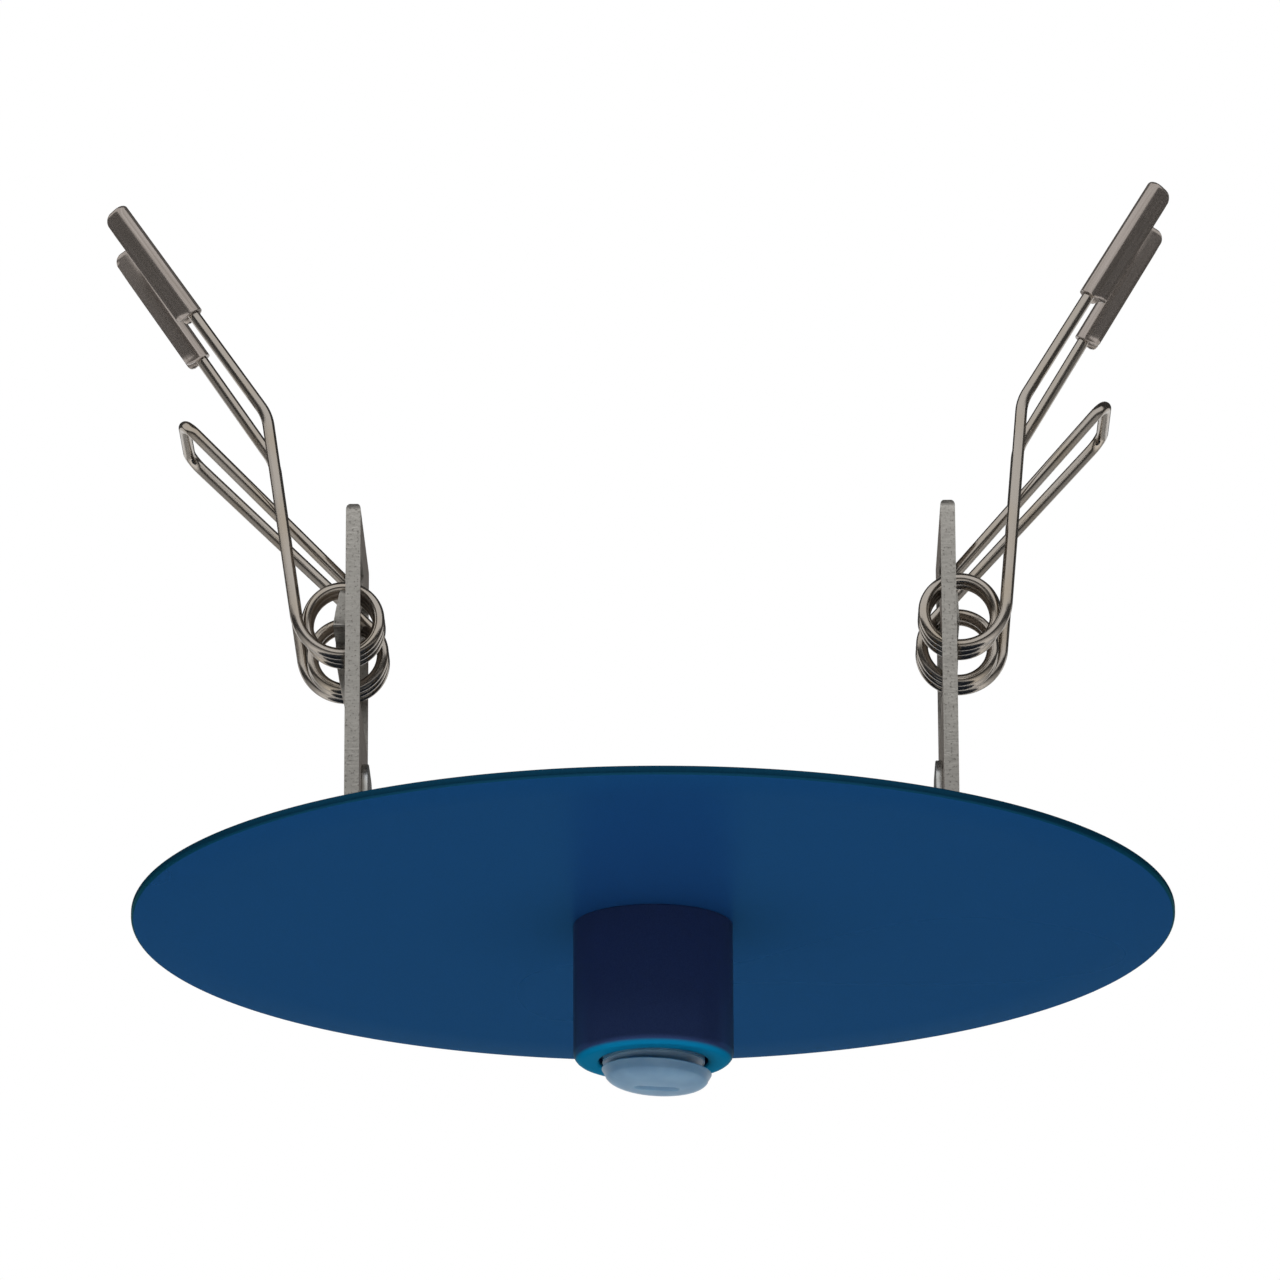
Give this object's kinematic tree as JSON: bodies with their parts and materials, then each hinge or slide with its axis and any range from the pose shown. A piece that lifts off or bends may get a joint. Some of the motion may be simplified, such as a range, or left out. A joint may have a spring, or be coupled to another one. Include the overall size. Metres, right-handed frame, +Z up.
{
  "type": "sprung ceiling cover plate",
  "caption": "Round sheet-metal ceiling cover plate with a central outlet hub and screw plug, held in its cut-out by sprung wire arms on upright brackets.",
  "frame": {"origin": "on the hub's axis, in the plane of the plate's back face, which is the ceiling plane", "axes": "+Z up as installed: the hub hangs down, the brackets and springs stand up; the brackets face each other along X"},
  "size_m": [0.1257, 0.12, 0.1075],
  "materials": {
    "plate_paint": "satin powder coat",
    "hub_paint": "satin powder coat",
    "plug_nylon": "translucent moulded nylon",
    "nipple_brass": "turned",
    "zinc_steel": "zinc plated",
    "bracket_steel": "stamped, satin zinc",
    "spring_wire": "drawn spring wire",
    "sleeve_steel": "folded sheet, satin",
    "rivet_steel": "zinc plated"
  },
  "bodies": {
    "root": {"cover_plate": "plate_paint", "hub_tube": "hub_paint", "hub_nipple": "nipple_brass", "hub_lock_washer": "zinc_steel", "hub_nut": "zinc_steel", "mounting_strap": "bracket_steel", "weld_studs": "zinc_steel", "stud_washers": "zinc_steel", "stud_nuts": "zinc_steel", "left_bracket": "bracket_steel", "right_bracket": "bracket_steel", "left_bracket_rivets": "rivet_steel", "right_bracket_rivets": "rivet_steel"},
    "plug": {"slotted_plug": "plug_nylon"},
    "left_spring": {"left_spring_loop": "spring_wire"},
    "right_spring": {"right_spring_loop": "spring_wire"},
    "left_near_arm": {"left_near_arm": "spring_wire", "left_near_sleeve": "sleeve_steel"},
    "left_far_arm": {"left_far_arm": "spring_wire", "left_far_sleeve": "sleeve_steel"},
    "right_near_arm": {"right_near_arm": "spring_wire", "right_near_sleeve": "sleeve_steel"},
    "right_far_arm": {"right_far_arm": "spring_wire", "right_far_sleeve": "sleeve_steel"}
  },
  "joints": [
    {"name": "plug_unscrew", "type": "slide", "parent": "root", "child": "plug", "axis": [0, 0, -1], "range_m": [0, 0.008]},
    {"name": "left_spring_swing", "type": "hinge", "parent": "root", "child": "left_spring", "pos_m": [-0.03565, 0, 0.0338], "axis": [0, -1, 0], "range_deg": [-3.2, 86.8]},
    {"name": "left_near_arm_squeeze", "type": "hinge", "parent": "left_spring", "child": "left_near_arm", "pos_m": [-0.03565, 0, 0.0338], "axis": [0, 1, 0], "range_deg": [0, 28], "stiffness_Nm_per_rad": 0.5},
    {"name": "left_far_arm_squeeze", "type": "hinge", "parent": "left_spring", "child": "left_far_arm", "pos_m": [-0.03565, 0, 0.0338], "axis": [0, 1, 0], "range_deg": [0, 28], "stiffness_Nm_per_rad": 0.5},
    {"name": "right_spring_swing", "type": "hinge", "parent": "root", "child": "right_spring", "pos_m": [0.03565, 0, 0.0338], "axis": [0, 1, 0], "range_deg": [0, 90]},
    {"name": "right_near_arm_squeeze", "type": "hinge", "parent": "right_spring", "child": "right_near_arm", "pos_m": [0.03565, 0, 0.0338], "axis": [0, -1, 0], "range_deg": [0, 28], "stiffness_Nm_per_rad": 0.5},
    {"name": "right_far_arm_squeeze", "type": "hinge", "parent": "right_spring", "child": "right_far_arm", "pos_m": [0.03565, 0, 0.0338], "axis": [0, -1, 0], "range_deg": [0, 28], "stiffness_Nm_per_rad": 0.5}
  ]
}
